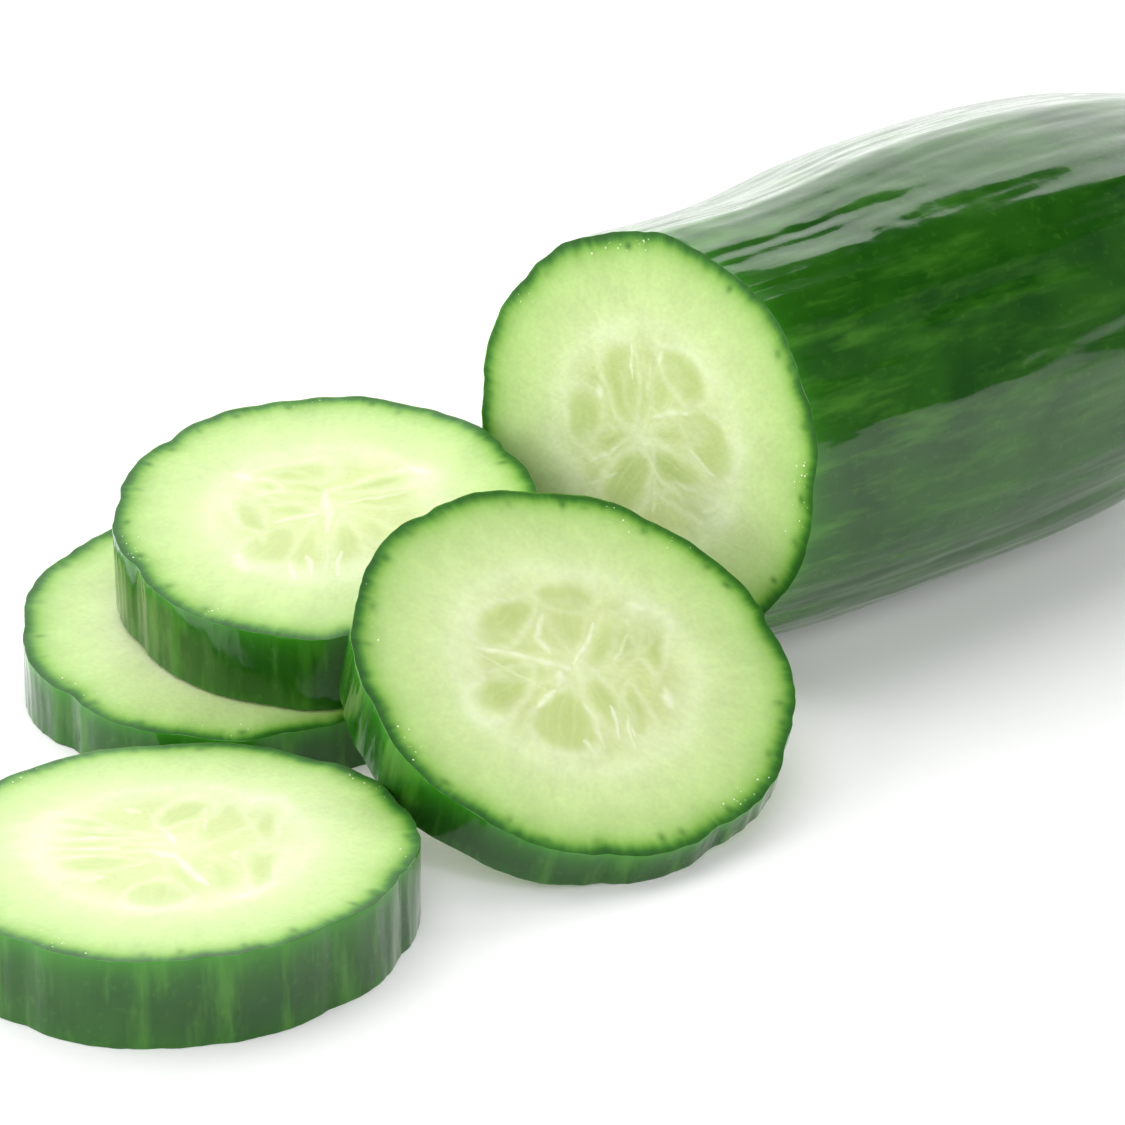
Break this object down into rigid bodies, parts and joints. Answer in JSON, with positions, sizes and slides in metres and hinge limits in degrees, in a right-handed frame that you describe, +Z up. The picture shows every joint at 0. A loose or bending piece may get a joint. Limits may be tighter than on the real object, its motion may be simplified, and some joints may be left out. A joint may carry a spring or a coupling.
{
  "type": "sliced cucumber",
  "caption": "Fresh cucumber lying on its side with one end cut off, and thin round slices laid flat, stacked and leaning in front of the cut.",
  "frame": {"origin": "middle of the footprint of all the pieces, on the surface they lie on", "axes": "+X along the uncut rest of the cucumber, from the knife cut to the round blossom end; +Z up; +Y to its left"},
  "size_m": [0.2066, 0.0902, 0.0525],
  "materials": {
    "cucumber_skin": "glossy dark green ribbed cucumber skin",
    "cucumber_flesh": "moist pale green cut cucumber flesh with a dark green rind"
  },
  "bodies": {
    "root": {"cut_cucumber": "cucumber_skin", "slice_front": "cucumber_flesh", "slice_leaning": "cucumber_flesh", "slice_lower": "cucumber_flesh", "slice_upper": "cucumber_flesh"}
  },
  "joints": []
}
